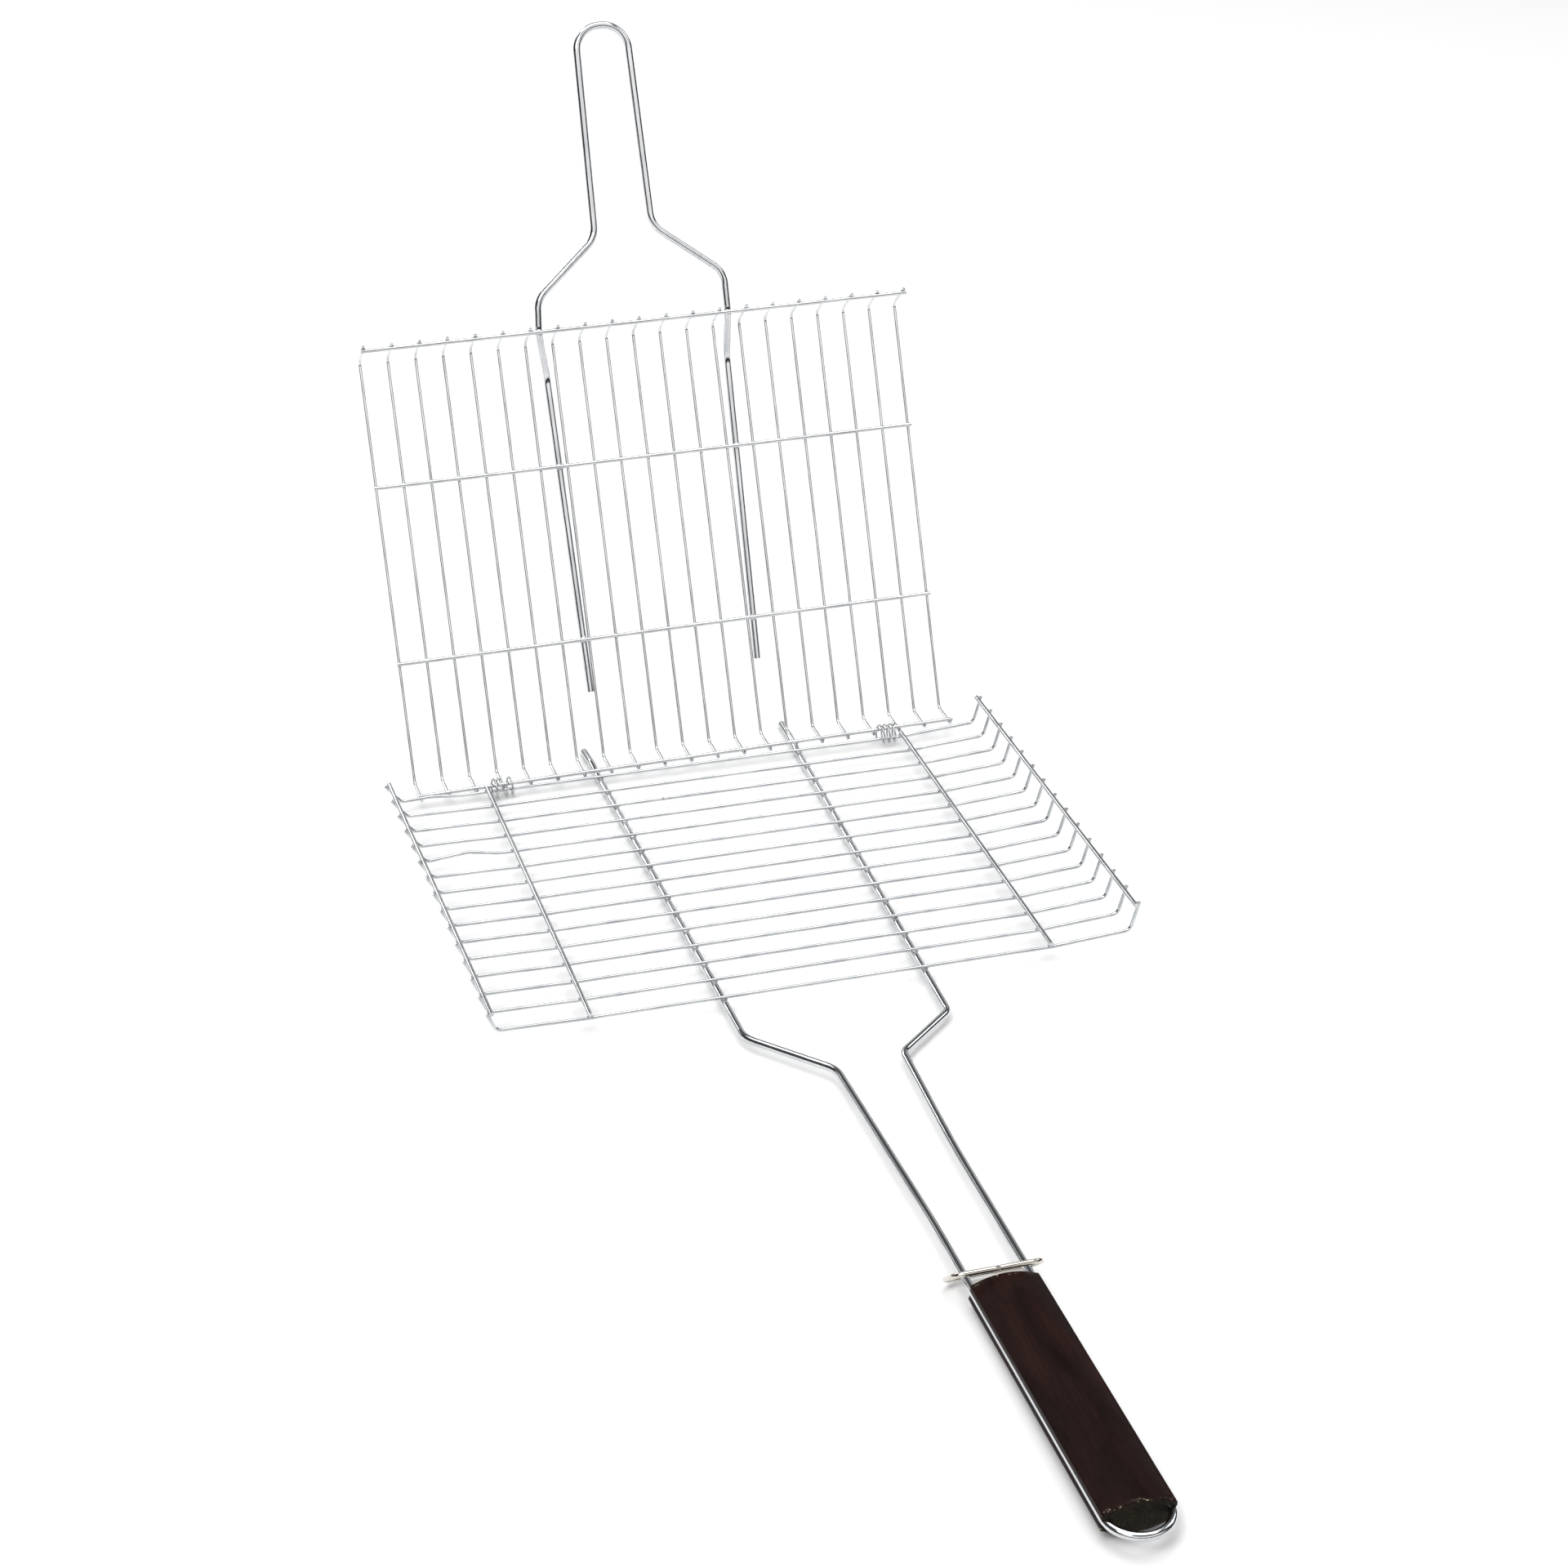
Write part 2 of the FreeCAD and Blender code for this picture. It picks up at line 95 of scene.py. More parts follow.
class Nodes:
    """A small builder for a material's node tree."""

    def __init__(self, name: str) -> None:
        """Start an empty material.

        Args:
            name: The material's name.
        """
        self.material = bpy.data.materials.new(name)
        self.material.use_nodes = True
        self.tree = self.material.node_tree
        self.tree.nodes.clear()
        self.shader = self.tree.nodes.new("ShaderNodeBsdfPrincipled")
        output = self.tree.nodes.new("ShaderNodeOutputMaterial")
        self.link(self.shader.outputs["BSDF"], output.inputs["Surface"])
        self.place = self.tree.nodes.new("ShaderNodeTexCoord").outputs["Object"]

    def link(self, source: bpy.types.NodeSocket, target: bpy.types.NodeSocket) -> None:
        """Join two sockets.

        Args:
            source: The output.
            target: The input.
        """
        self.tree.links.new(source, target)

    def mapped(self, turn: tuple, scale: tuple) -> bpy.types.NodeSocket:
        """Turned and stretched object coordinates.

        Args:
            turn: Euler angles of the turn.
            scale: Stretch of each axis after the turn.

        Returns:
            The vector socket.
        """
        first = self.tree.nodes.new("ShaderNodeMapping")
        first.inputs["Rotation"].default_value = turn
        self.link(self.place, first.inputs["Vector"])
        second = self.tree.nodes.new("ShaderNodeMapping")
        second.inputs["Scale"].default_value = scale
        self.link(first.outputs["Vector"], second.inputs["Vector"])
        return second.outputs["Vector"]

    def noise(self, scale: float, detail: float, vector: bpy.types.NodeSocket | None = None,
              distortion: float = 0.0) -> bpy.types.NodeSocket:
        """A noise pattern.

        Args:
            scale: Features per metre, or per stretched unit.
            detail: Octaves.
            vector: Coordinates, or None for plain object coordinates.
            distortion: Swirl of the pattern.

        Returns:
            The factor socket.
        """
        node = self.tree.nodes.new("ShaderNodeTexNoise")
        node.inputs["Scale"].default_value = scale
        node.inputs["Detail"].default_value = detail
        node.inputs["Distortion"].default_value = distortion
        self.link(vector or self.place, node.inputs["Vector"])
        return node.outputs["Fac"]

    def spread(self, value: bpy.types.NodeSocket, low: float, high: float,
               to_low: float, to_high: float) -> bpy.types.NodeSocket:
        """Map one span of a value onto another, clamped.

        Args:
            value: The value.
            low: Where the span starts.
            high: Where it ends.
            to_low: The result at its start.
            to_high: The result at its end.

        Returns:
            The mapped socket.
        """
        node = self.tree.nodes.new("ShaderNodeMapRange")
        set_span(node, (low, high), (to_low, to_high))
        self.link(value, node.inputs["Value"])
        return node.outputs["Result"]

    def mix(self, share: bpy.types.NodeSocket, first: Colour | bpy.types.NodeSocket,
            second: Colour | bpy.types.NodeSocket) -> bpy.types.NodeSocket:
        """Mix two colours by a share.

        Args:
            share: How much of the second colour.
            first: A constant or a socket.
            second: A constant or a socket.

        Returns:
            The colour socket.
        """
        node = self.tree.nodes.new("ShaderNodeMix")
        node.data_type = "RGBA"
        self.link(share, node.inputs["Factor"])
        for socket, colour in ((node.inputs[6], first), (node.inputs[7], second)):
            if isinstance(colour, bpy.types.NodeSocket):
                self.link(colour, socket)
            else:
                socket.default_value = colour
        return node.outputs[2]

    def times(self, first: bpy.types.NodeSocket, second: bpy.types.NodeSocket) -> bpy.types.NodeSocket:
        """The product of two values."""
        node = self.tree.nodes.new("ShaderNodeMath")
        node.operation = "MULTIPLY"
        self.link(first, node.inputs[0])
        self.link(second, node.inputs[1])
        return node.outputs[0]

    def attribute(self, name: str) -> bpy.types.NodeSocket:
        """The value of a mesh attribute."""
        node = self.tree.nodes.new("ShaderNodeAttribute")
        node.attribute_name = name
        return node.outputs["Fac"]

    def bump(self, heights: list, strength: float) -> None:
        """Bump the shader's normal.

        Args:
            heights: Pairs of a height socket and its depth in metres.
            strength: Strength of every bump.
        """
        normal = None
        for height, depth in heights:
            node = self.tree.nodes.new("ShaderNodeBump")
            node.inputs["Strength"].default_value = strength
            node.inputs["Distance"].default_value = depth
            self.link(height, node.inputs["Height"])
            if normal is not None:
                self.link(normal, node.inputs["Normal"])
            normal = node.outputs["Normal"]
        self.link(normal, self.shader.inputs["Normal"])

    def constants(self, **values: float) -> None:
        """Set the shader's own sockets; underscores stand for spaces."""
        for name, value in values.items():
            self.shader.inputs[name.replace("_", " ")].default_value = value


# ---------------------------------------------------------------- finishes
@dataclass(frozen=True)
class PlatedWire:
    """Bright plated steel wire, with draw marks along it and dull patches."""

    name: str
    run: Run
    colour: Colour = (0.67, 0.685, 0.70, 1.0)
    dull: Colour = (0.36, 0.375, 0.39, 1.0)
    stretch: Stretch = Stretch.FIRST_AXIS
    patch_scale: float = 75.0
    shine: Pair = (0.09, 0.25)
    speck_scale: float = 1500.0
    depth: float = 0.03 * MM
    speck_depth: float = 0.6
    relief: float = 0.55

    def material(self) -> bpy.types.Material:
        """Build the material."""
        nodes = Nodes(self.name)
        marks = nodes.noise(1.0, 3.0, nodes.mapped(self.run.value, self.stretch.value))
        patches = nodes.noise(self.patch_scale, 4.0, distortion=0.6)
        specks = nodes.noise(self.speck_scale, 2.0)
        dull_share = nodes.times(nodes.spread(patches, 0.42, 0.70, 0.0, 1.0),
                                 nodes.spread(marks, 0.30, 0.75, 0.35, 1.0))
        lined = nodes.mix(nodes.spread(marks, 0.35, 0.65, 0.0, 0.55), self.colour, self.dull)
        nodes.link(nodes.mix(dull_share, lined, self.dull), nodes.shader.inputs["Base Color"])
        uneven = nodes.times(marks, nodes.spread(specks, 0.3, 0.7, 0.7, 1.3))
        nodes.link(nodes.spread(uneven, 0.2, 0.75, *self.shine), nodes.shader.inputs["Roughness"])
        nodes.bump([(marks, self.depth), (specks, self.depth * self.speck_depth)], self.relief)
        nodes.constants(Metallic=1.0)
        return nodes.material


@dataclass(frozen=True)
class WeldMetal:
    """The squeezed metal of a spot weld under the plating, with a faint heat tint."""

    name: str = "plated weld nugget"
    colour: Colour = (0.50, 0.515, 0.53, 1.0)
    tint: Colour = (0.17, 0.145, 0.125, 1.0)
    blotch_scale: float = 420.0
    grit_scale: float = 2600.0
    shine: Pair = (0.28, 0.5)
    blotch_depth: float = 0.12 * MM
    grit_depth: float = 0.03 * MM
    relief: float = 0.6

    def material(self) -> bpy.types.Material:
        """Build the material."""
        nodes = Nodes(self.name)
        blotch = nodes.noise(self.blotch_scale, 3.0, distortion=1.2)
        grit = nodes.noise(self.grit_scale, 3.0)
        nodes.link(nodes.mix(nodes.spread(blotch, 0.44, 0.68, 0.0, 0.9), self.colour, self.tint),
                   nodes.shader.inputs["Base Color"])
        nodes.link(nodes.spread(blotch, 0.3, 0.7, *self.shine), nodes.shader.inputs["Roughness"])
        nodes.bump([(blotch, self.blotch_depth), (grit, self.grit_depth)], self.relief)
        nodes.constants(Metallic=1.0)
        return nodes.material


@dataclass(frozen=True)
class StainedWood:
    """Dark stained and varnished wood, with pores along Y and bare chips on its edges."""

    name: str = "dark stained wood"
    deep: Colour = (0.0065, 0.0020, 0.0015, 1.0)
    warm: Colour = (0.021, 0.0062, 0.0046, 1.0)
    pore: Colour = (0.0028, 0.0013, 0.0012, 1.0)
    bare: Colour = (0.30, 0.25, 0.19, 1.0)
    cloud_stretch: Size = (62.0, 17.0, 62.0)
    grain_stretch: Size = (900.0, 26.0, 900.0)
    pore_stretch: Size = (2400.0, 190.0, 2400.0)
    brush_scale: float = 240.0
    chip_scale: float = 620.0
    shine: Pair = (0.30, 0.52)
    cloud_depth: float = 0.35 * MM
    grain_depth: float = 0.10 * MM
    pore_depth: float = 0.05 * MM
    brush_depth: float = 0.07 * MM
    relief: float = 0.5

    def material(self) -> bpy.types.Material:
        """Build the material."""
        nodes = Nodes(self.name)
        cloud = nodes.noise(1.0, 4.0, nodes.mapped((0, 0, 0), self.cloud_stretch), 0.9)
        grain = nodes.noise(1.0, 5.0, nodes.mapped((0, 0, 0), self.grain_stretch), 0.35)
        pores = nodes.noise(1.0, 2.0, nodes.mapped((0, 0, 0.04), self.pore_stretch))
        brush = nodes.noise(self.brush_scale, 5.0, distortion=1.5)
        flakes = nodes.noise(self.chip_scale, 4.0, distortion=0.8)
        body = nodes.mix(nodes.spread(cloud, 0.34, 0.68, 0.0, 1.0), self.deep, self.warm)
        streaked = nodes.mix(nodes.spread(grain, 0.40, 0.66, 0.0, 0.65), body, self.deep)
        stained = nodes.mix(nodes.spread(pores, 0.60, 0.70, 0.0, 0.8), streaked, self.pore)
        chips = nodes.times(nodes.spread(nodes.attribute("edge_wear"), 0.25, 0.9, 0.0, 1.0),
                            nodes.spread(flakes, 0.60, 0.64, 0.0, 1.0))
        nodes.link(nodes.mix(chips, stained, self.bare), nodes.shader.inputs["Base Color"])
        uneven = nodes.times(cloud, nodes.spread(brush, 0.3, 0.7, 0.75, 1.25))
        nodes.link(nodes.spread(uneven, 0.25, 0.7, *self.shine), nodes.shader.inputs["Roughness"])
        nodes.bump([(cloud, self.cloud_depth), (grain, self.grain_depth), (pores, self.pore_depth),
                    (brush, self.brush_depth)], self.relief)
        nodes.constants(Metallic=0.0, Coat_Weight=0.0, Coat_Roughness=0.3, Specular_IOR_Level=0.07)
        return nodes.material


@dataclass(frozen=True)
class EndGrain:
    """The grip's sawn ends: stained end grain with fine pores and saw lines."""

    name: str = "stained end grain"
    deep: Colour = (0.0055, 0.0040, 0.0024, 1.0)
    olive: Colour = (0.022, 0.0175, 0.0095, 1.0)
    ring_scale: float = 130.0
    saw_turn: float = math.radians(24.0)
    saw_stretch: Size = (90.0, 90.0, 1500.0)
    pore_scale: float = 2300.0
    blotch_scale: float = 150.0
    shine: Pair = (0.30, 0.55)
    saw_depth: float = 0.12 * MM
    pore_depth: float = 0.06 * MM
    relief: float = 0.6

    def material(self) -> bpy.types.Material:
        """Build the material."""
        nodes = Nodes(self.name)
        rings = nodes.tree.nodes.new("ShaderNodeTexWave")
        rings.wave_type = "RINGS"
        rings.rings_direction = "Y"
        settings = (("Scale", self.ring_scale), ("Distortion", 5.0), ("Detail", 3.0), ("Detail Scale", 1.6))
        for socket, number in settings:
            rings.inputs[socket].default_value = number
        nodes.link(nodes.place, rings.inputs["Vector"])
        saw = nodes.noise(1.0, 3.0, nodes.mapped((0, self.saw_turn, 0), self.saw_stretch))
        pores = nodes.noise(self.pore_scale, 2.0)
        blotch = nodes.noise(self.blotch_scale, 4.0, distortion=0.8)
        share = nodes.times(nodes.spread(rings.outputs["Fac"], 0.1, 0.9, 0.45, 1.0),
                            nodes.spread(blotch, 0.32, 0.66, 0.1, 1.0))
        tone = nodes.mix(share, self.deep, self.olive)
        nodes.link(nodes.mix(nodes.spread(pores, 0.58, 0.66, 0.0, 0.8), tone, self.deep),
                   nodes.shader.inputs["Base Color"])
        nodes.link(nodes.spread(blotch, 0.3, 0.7, *self.shine), nodes.shader.inputs["Roughness"])
        nodes.bump([(saw, self.saw_depth), (pores, self.pore_depth)], self.relief)
        nodes.constants(Metallic=0.0, Coat_Weight=0.0, Coat_Roughness=0.3, Specular_IOR_Level=0.09)
        return nodes.material


@dataclass(frozen=True)
class StudioFloor:
    """The pale, nearly matt floor."""

    name: str = "pale studio floor"
    colour: Colour = (0.93, 0.93, 0.93, 1.0)
    cloudy: Colour = (0.9, 0.9, 0.9, 1.0)

    def material(self) -> bpy.types.Material:
        """Build the material."""
        nodes = Nodes(self.name)
        tone = nodes.noise(3.0, 2.0)
        share = nodes.spread(tone, 0.2, 0.8, 0.0, 0.03)
        nodes.link(nodes.mix(share, self.colour, self.cloudy), nodes.shader.inputs["Base Color"])
        nodes.constants(Roughness=0.9, Specular_IOR_Level=0.1)
        return nodes.material


# ---------------------------------------------------------------- shared building steps
def finished(bm: bmesh.types.BMesh, name: str, body: str, materials: list,
             replaced: tuple = (), sharp: float = 40.0) -> bpy.types.Object:
    """Turn a bmesh into a smooth shaded piece that rides on a CAD body.

    Args:
        bm: The shape, in the row frame. It is freed.
        name: The piece's name.
        body: The CAD body it moves with.
        materials: The piece's materials, by face index.
        replaced: CAD nodes that the piece stands for.
        sharp: Angle in degrees above which an edge is shaded sharp.

    Returns:
        The new object.
    """
    mesh = bpy.data.meshes.new(name)
    bm.to_mesh(mesh)
    bm.free()
    for material in materials:
        mesh.materials.append(material)
    mesh.shade_smooth()
    mesh.set_sharp_from_angle(angle=math.radians(sharp))
    piece = bpy.data.objects.new(name, mesh)
    bpy.context.scene.collection.objects.link(piece)
    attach(piece, body)
    if replaced:
        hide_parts(*replaced)
    LOG.info("%s: %d faces on %s", name, len(mesh.polygons), body)
    return piece


def dress(nodes: list, material: bpy.types.Material) -> None:
    """Give CAD nodes a finish.

    Args:
        nodes: Names of the nodes.
        material: The finish.
    """
    for name in nodes:
        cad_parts[name].material_slots[0].material = material
    LOG.info("%d wires in %s", len(nodes), material.name)


def axis_turn(direction: Vector) -> Matrix:
    """A turn that brings +Z onto a direction."""
    return direction.to_track_quat("Z", "Y").to_matrix().to_4x4()


# ---------------------------------------------------------------- welds
@dataclass
class Welds:
    """Squeezed-out metal where two wires were spot welded."""

    name: str
    body: str
    dice: random.Random
    roughen: float = 0.08
    grow: float = 0.14
    twist: float = 0.25
    soft_angle: float = 75.0
    bm: bmesh.types.BMesh = field(default_factory=bmesh.new)

    def add(self, place: Vector, size: Size, turn: Matrix) -> None:
        """Add one nugget.

        Args:
            place: Its centre.
            size: Half sizes along its own three axes.
            turn: Its orientation.
        """
        grow = 1.0 + self.dice.uniform(-self.grow, self.grow)
        shape = Matrix.Diagonal((size[0] * grow, size[1] * grow, size[2], 1.0))
        spin = Matrix.Rotation(self.dice.uniform(-self.twist, self.twist), 4, "Z")
        matrix = Matrix.Translation(place) @ turn @ spin @ shape
        new = bmesh.ops.create_icosphere(self.bm, subdivisions=2, radius=1.0)["verts"]
        for vert in new:
            vert.co *= 1.0 + self.dice.uniform(-self.roughen, self.roughen)
        bmesh.ops.transform(self.bm, matrix=matrix, verts=new)

    def build(self, slot: str, material: bpy.types.Material) -> bpy.types.Object:
        """Make the piece.

        Args:
            slot: The record's material slot; not used.
            material: The nuggets' finish.

        Returns:
            The new object.
        """
        return finished(self.bm, self.name, self.body, [material], sharp=self.soft_angle)


# ---------------------------------------------------------------- tray
@dataclass
class Tray:
    """The lower half: long wires, side rims, cross wires and its welds."""

    wires: int = 15
    wire_r: float = 0.9 * MM
    floor_z: float = 4.8 * MM
    half_width: float = 167.8 * MM
    foot_out: Pair = (0.5 * MM, 0.0)
    toe: Pair = (0.8 * MM, 0.0)
    splay: Pair = (1.6 * MM, 0.0)
    rise: Pair = (1.0 * MM, 2.9 * MM)
    flare: Pair = (6.6 * MM, 4.3 * MM)
    wall: Pair = (10.8 * MM, 16.3 * MM)
    tail: Pair = (1.0 * MM, 1.4 * MM)
    floor_nugget: Size = (1.75 * MM, 1.45 * MM, 0.62 * MM)
    rim_nugget: Size = (1.5 * MM, 1.5 * MM, 0.62 * MM)
    nugget_rise: float = 0.95
    spatter: tuple[Pair, ...] = ((-28.0 * MM, 0.75 * MM), (-24.5 * MM, 0.5 * MM))
    spatter_back: float = 0.6 * MM
    spatter_rise: float = 0.3 * MM
    seed: int = 11

    def __post_init__(self) -> None:
        """Read the wires' places from the frame."""
        self.names = ["tray_wire_%02d" % (index + 1) for index in range(self.wires)]
        self.bars = ["tray_cross_wire_left", "tray_cross_wire_right"]
        self.rims = ["tray_rim_left", "tray_rim_right"]
        rear, front = (sum(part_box(name), Vector()) / 2 for name in (self.names[1], self.names[-1]))
        pitch = (rear.y - front.y) / (self.wires - 2)
        self.places = [rear.y + pitch - index * pitch for index in range(self.wires)]

    def rim_weld(self, side: int, y: float) -> tuple[Vector, Matrix]:
        """Place the weld between a side rim and one wall wire.

        Args:
            side: -1 on the left, 1 on the right.
            y: The wire's place.

        Returns:
            The weld's centre and its turn.
        """
        index = 0 if side < 0 else 1
        rearness = y / self.places[0]
        out = self.half_width + self.foot_out[index] + self.toe[index] * rearness
        foot = Vector((side * out, y, self.floor_z + self.rise[index]))
        lean = self.flare[index] + self.splay[index] * rearness
        top = foot + Vector((side * lean, 0, self.wall[index]))
        slope = (top - foot).normalized()
        inward = Vector((-side * slope.z, 0, side * slope.x))
        return top - slope * self.tail[index] + inward * self.wire_r, axis_turn(inward)

    def build(self, lengthwise: bpy.types.Material, across: bpy.types.Material,
              weld: bpy.types.Material) -> None:
        """Dress the wires and add the welds.

        Args:
            lengthwise: Finish of the cross wires and the rims.
            across: Finish of the long wires.
            weld: Finish of the nuggets.
        """
        dress(self.names, across)
        dress(self.bars + self.rims, lengthwise)
        welds = Welds("tray_welds", "tray", random.Random(self.seed))
        upright = Matrix.Identity(4)
        for y in self.places:
            for name in self.bars:
                x = (sum(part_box(name), Vector()) / 2).x
                place = Vector((x, y, self.floor_z + self.wire_r * self.nugget_rise))
                welds.add(place, self.floor_nugget, upright)
            for side in (-1, 1):
                place, turn = self.rim_weld(side, y)
                welds.add(place, self.rim_nugget, turn)
        for x, radius in self.spatter:
            place = Vector((x, self.places[2] - self.spatter_back, self.floor_z + self.spatter_rise))
            welds.add(place, (radius, radius, radius), upright)
        welds.build("grid_wire", weld)


# ---------------------------------------------------------------- lid
@dataclass
class Lid:
    """The folding half, with its own handle wire."""

    wires: int = 21
    wire_r: float = 0.9 * MM
    bar_r: float = 1.1 * MM
    first_x: float = -157.3 * MM
    pitch: float = 15.64 * MM
    plane_z: float = -16.7 * MM
    cross_y: Pair = (73.3 * MM, 171.9 * MM)
    rear_slope: Pair = (-8.2, 17.7)
    front_end: Pair = (249.3 * MM, 3.6 * MM)
    front_slope: Pair = (6.9, 20.3)
    front_back: float = 1.8 * MM
    legs: tuple = (((-50.5, 43.4), (-53.2, 223.6)), ((49.5, 49.3), (52.6, 223.6)))
    rim_x: Pair = (-58.3 * MM, 51.4 * MM)
    hinge: Size = (0.0, 123.5 * MM, 7.3 * MM)
    nugget_rise: float = 0.95
    cross_nugget: Size = (1.35 * MM, 1.6 * MM, 0.6 * MM)
    rim_nugget: Size = (1.45 * MM, 1.45 * MM, 0.6 * MM)
    leg_nugget: Size = (2.3 * MM, 1.9 * MM, 0.75 * MM)
    leg_rim_nugget: Size = (2.2 * MM, 1.7 * MM, 0.75 * MM)
    bite: float = 0.1 * MM
    seed: int = 23

    def __post_init__(self) -> None:
        """Work out where the lid's flat frame lies."""
        yaw = Matrix.Rotation(LID_YAW, 4, "Z")
        roll = Matrix.Rotation(LID_ROLL, 4, "Y")
        self.turn = yaw @ roll @ Matrix.Rotation(LID_LEAN, 4, "X")
        self.matrix = Matrix.Translation(self.hinge) @ self.turn
        self.names = ["lid_wire_%02d" % (index + 1) for index in range(self.wires)]
        self.bars = ["lid_rear_rim", "lid_front_rim", "lid_cross_wire_rear", "lid_cross_wire_front"]

    def at(self, x: float, y: float, z: float) -> Vector:
        """A point of the lid's flat frame.

        Args:
            x: Across the lid.
            y: Away from the hinge.
            z: Off the lid's plane.

        Returns:
            The same point in the CAD's frame.
        """
        return self.matrix @ Vector((x, y, z))

    def wall_turn(self, slope: Pair) -> Matrix:
        """The turn of a weld on a wall.

        Args:
            slope: The wall's run along Y and Z.

        Returns:
            The turn.
        """
        along = Vector((0.0, slope[0], slope[1])).normalized()
        return self.turn @ axis_turn(Vector((0.0, -along.z, along.y)))

    def grid_welds(self, welds: Welds, rear: Vector, front: Vector) -> None:
        """Weld every long wire to the cross wires and to both rims.

        Args:
            welds: The welds so far.
            rear: The rear rim's weld on a wire at x = 0, in the flat frame.
            front: The front rim's.
        """
        for index in range(self.wires):
            x = self.first_x + index * self.pitch
            for y in self.cross_y:
                place = self.at(x, y, self.plane_z + self.wire_r * self.nugget_rise)
                welds.add(place, self.cross_nugget, self.turn)
            for place, slope in ((front, self.front_slope), (rear, self.rear_slope)):
                welds.add(self.at(x, place.y, place.z), self.rim_nugget, self.wall_turn(slope))

    def handle_welds(self, welds: Welds, rim: Vector) -> None:
        """Weld the handle wire's legs to the cross wires, and its neck to the front rim.

        Args:
            welds: The welds so far.
            rim: The neck's weld on the front rim at x = 0, in the flat frame.
        """
        leg_z = self.plane_z + self.wire_r - self.bite
        for (x0, y0), (x1, y1) in self.legs:
            for y in self.cross_y:
                share = (y / MM - y0) / (y1 - y0)
                x = (x0 + (x1 - x0) * share) * MM
                welds.add(self.at(x, y, leg_z), self.leg_nugget, self.turn)
        for x in self.rim_x:
            welds.add(self.at(x, rim.y, rim.z - self.bar_r), self.leg_rim_nugget, self.turn)

    def build(self, drawn: bpy.types.Material, across: bpy.types.Material, handle: bpy.types.Material,
              weld: bpy.types.Material) -> None:
        """Dress the wires and add the welds.

        Args:
            drawn: Finish of the long wires.
            across: Finish of the rims and cross wires.
            handle: Finish of the lid's handle wire.
            weld: Finish of the nuggets.
        """
        dress(self.names, drawn)
        dress(self.bars, across)
        dress(["lid_handle_wire"], handle)
        slope = Vector((0.0, *self.front_slope)).normalized()
        inward = Vector((0.0, -slope.z, slope.y))
        place = Vector((0.0, *self.front_end)) - slope * self.front_back
        rear_slope = Vector((0.0, *self.rear_slope)).normalized()
        rear = Vector((0.0, rear_slope.z, -rear_slope.y)) * -self.bar_r
        welds = Welds("lid_welds", "lid", random.Random(self.seed))
        self.grid_welds(welds, rear, place + inward * self.wire_r)
        self.handle_welds(welds, place + inward * (self.wire_r + self.bar_r - self.bite))
        welds.build("grid_wire", weld)


# ---------------------------------------------------------------- handle, grip, ring
@dataclass
class Handle:
    """The lower handle wire and its welds to the tray."""

    leg_z: float = 2.0 * MM
    wire_r: float = 2.0 * MM
    legs: tuple = (((-55.9, 36.3), (-50.5, -272.0)), ((63.0, 37.3), (54.4, -276.5)))
    nugget: Size = (1.9 * MM, 1.5 * MM, 0.7 * MM)
    nugget_rise: float = 0.96
    seed: int = 5

    def build(self, tray: Tray, finish: bpy.types.Material, weld: bpy.types.Material) -> None:
        """Dress the wire and add the welds under the tray.

        Args:
            tray: The tray that the legs are welded to.
            finish: The wire's finish.
            weld: Finish of the nuggets.
        """
        dress(["tray_handle_wire"], finish)
        welds = Welds("handle_welds", "tray", random.Random(self.seed))
        leg_top = self.leg_z + self.wire_r * self.nugget_rise
        for (x0, y0), (x1, y1) in self.legs:
            for y in tray.places:
                share = ((y - tray.places[0]) / MM - y0) / (y1 - y0)
                x = (x0 + (x1 - x0) * share) * MM
                welds.add(Vector((x, y, leg_top)), self.nugget, Matrix.Identity(4))
        welds.build("handle_wire", weld)


